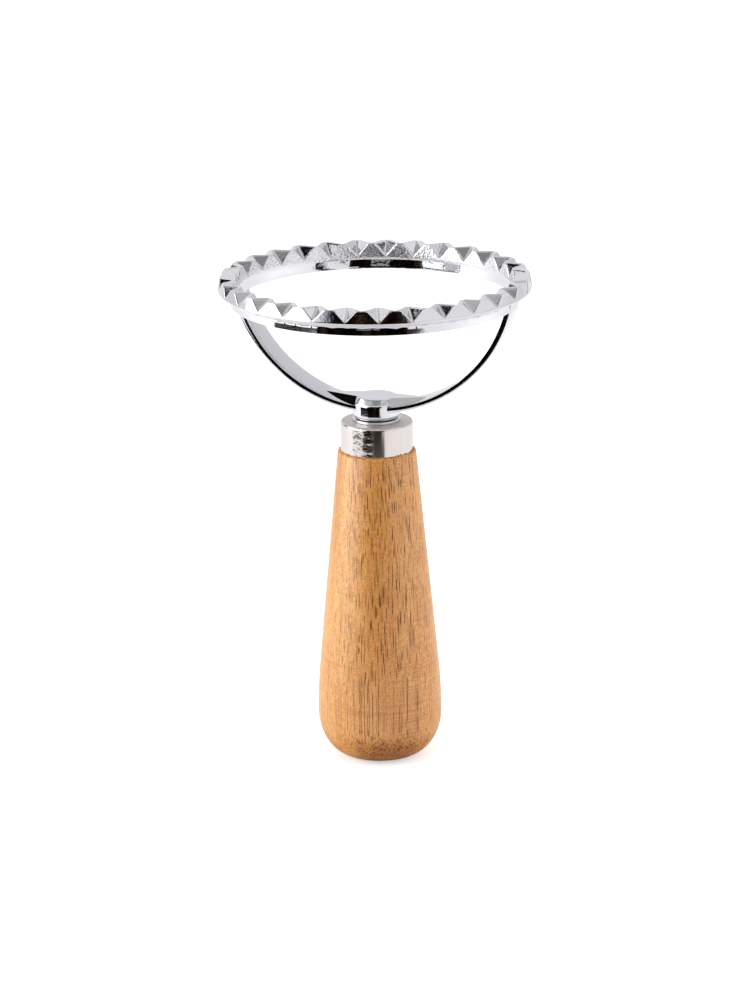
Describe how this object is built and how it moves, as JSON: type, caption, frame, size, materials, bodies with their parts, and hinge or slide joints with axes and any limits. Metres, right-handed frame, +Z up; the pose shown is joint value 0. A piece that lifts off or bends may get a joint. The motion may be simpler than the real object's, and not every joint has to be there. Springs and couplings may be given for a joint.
{
  "type": "ravioli cutter",
  "caption": "Hand ravioli cutter: a round ring with a zigzag toothed crown on a strap bow, fixed to a turned wooden handle that it can stand on.",
  "frame": {"origin": "centre of the handle's flat foot", "axes": "+Z up along the handle to the cutting ring; the bow lies in the XZ plane"},
  "size_m": [0.07, 0.07, 0.1125],
  "materials": {
    "plated_casting": "bright chrome plate over a casting, slightly uneven",
    "plated_strap": "bright chrome plate",
    "plated_steel": "bright chrome plate on turned steel",
    "ferrule_metal": "drawn metal, polished, with faint drawing marks",
    "lacquered_wood": "turned hardwood under thin satin lacquer"
  },
  "bodies": {
    "root": {"cutting_ring": "plated_casting", "bow": "plated_strap", "tang": "plated_steel", "washer": "plated_steel", "ferrule": "ferrule_metal", "handle": "lacquered_wood"}
  },
  "joints": []
}
